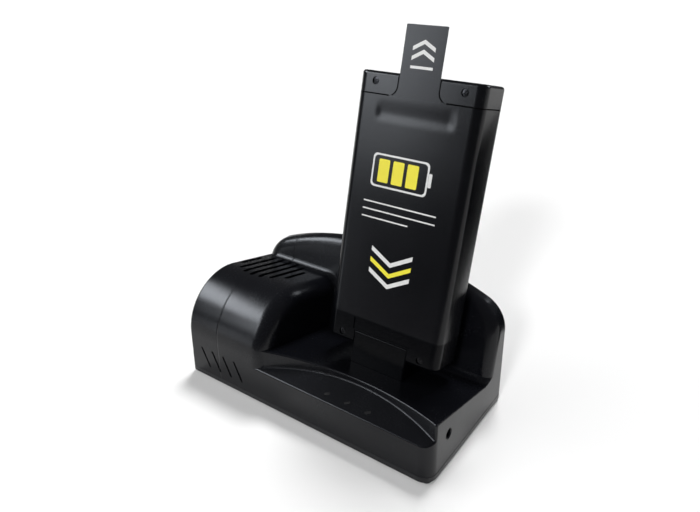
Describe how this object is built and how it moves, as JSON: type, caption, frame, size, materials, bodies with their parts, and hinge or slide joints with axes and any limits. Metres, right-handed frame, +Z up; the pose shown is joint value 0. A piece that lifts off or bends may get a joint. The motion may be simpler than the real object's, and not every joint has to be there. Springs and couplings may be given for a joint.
{
  "type": "battery charger",
  "caption": "Desktop battery charger with a leaning cradle, a fan hump with a grille, a bowed front and a barrel inlet, and a lift-out battery pack standing on its contact tower.",
  "frame": {"origin": "on the table, under the middle of the box round the whole object, pack included", "axes": "+Z up, +Y towards the headboard at the back, +X to the right of someone who faces the charger"},
  "size_m": [0.203, 0.1092, 0.2498],
  "materials": {
    "case_plastic": "satin black moulding",
    "cover_plastic": "black moulding",
    "foot_rubber": "matt",
    "screw_steel": "zinc plated",
    "pack_screw_steel": "blackened",
    "board_laminate": "solder mask",
    "jack_plastic": "moulded",
    "jack_metal": "nickel plated",
    "ferrite": "coated",
    "can_aluminium": "sleeved can",
    "chip_epoxy": "moulded",
    "lamp_chip": "moulded",
    "light_pipe": "smoked clear",
    "tower_plastic": "satin black moulding",
    "contact_brass": "gold plated",
    "sink_aluminium": "extruded",
    "resistor_aluminium": "anodised",
    "fan_plastic": "moulded",
    "bush_brass": "sintered",
    "stator_steel": "laminated and wound",
    "rotor_plastic": "moulded",
    "pack_plastic": "moulded",
    "label_film": "satin printed film",
    "cap_plastic": "satin black moulding",
    "tab_film": "printed film",
    "cell_can": "sleeved can, whose density is near a cell's",
    "nickel": "rolled",
    "fibre_card": "fibre card",
    "socket_plastic": "moulded"
  },
  "bodies": {
    "charger": {"upper_housing": "case_plastic", "bottom_cover": "cover_plastic", "rubber_feet": "foot_rubber", "case_screws": "screw_steel", "main_board": "board_laminate", "board_screws": "screw_steel", "dc_jack": "jack_plastic", "dc_jack_pin": "jack_metal", "choke": "ferrite", "capacitors": "can_aluminium", "controller_chips": "chip_epoxy", "lamp_chips": "lamp_chip", "light_pipes": "light_pipe", "contact_tower": "tower_plastic", "contact_blades": "contact_brass", "heat_sink": "sink_aluminium", "heat_sink_screws": "screw_steel", "load_resistors": "resistor_aluminium", "fan_frame": "fan_plastic", "fan_bush": "bush_brass", "fan_stator": "stator_steel", "fan_screws": "screw_steel"},
    "fan": {"fan_rotor": "rotor_plastic"},
    "pack": {"pack_shell": "pack_plastic", "pack_label": "label_film", "pack_top_cap": "cap_plastic", "pack_bottom_cap": "cap_plastic", "pack_screws": "pack_screw_steel", "cells": "cell_can", "nickel_strips": "nickel", "cell_spacers": "fibre_card", "pack_board": "board_laminate", "pack_socket": "socket_plastic"},
    "tab": {"pull_tab": "tab_film"}
  },
  "joints": [
    {"name": "pack_lift_out", "type": "slide", "parent": "charger", "child": "pack", "axis": [0, 0.2181, 0.9759], "range_m": [0, 0.05]},
    {"name": "fan_spin", "type": "hinge", "parent": "charger", "child": "fan", "pos_m": [-0.0731, 0.00646, 0.05893], "axis": [0, 0.2181, 0.9759], "continuous": true},
    {"name": "tab_bend", "type": "hinge", "parent": "pack", "child": "tab", "pos_m": [0.0375, 0.02516, 0.22239], "axis": [1, 0, 0], "range_deg": [-80, 100], "stiffness_Nm_per_rad": 0.002}
  ]
}
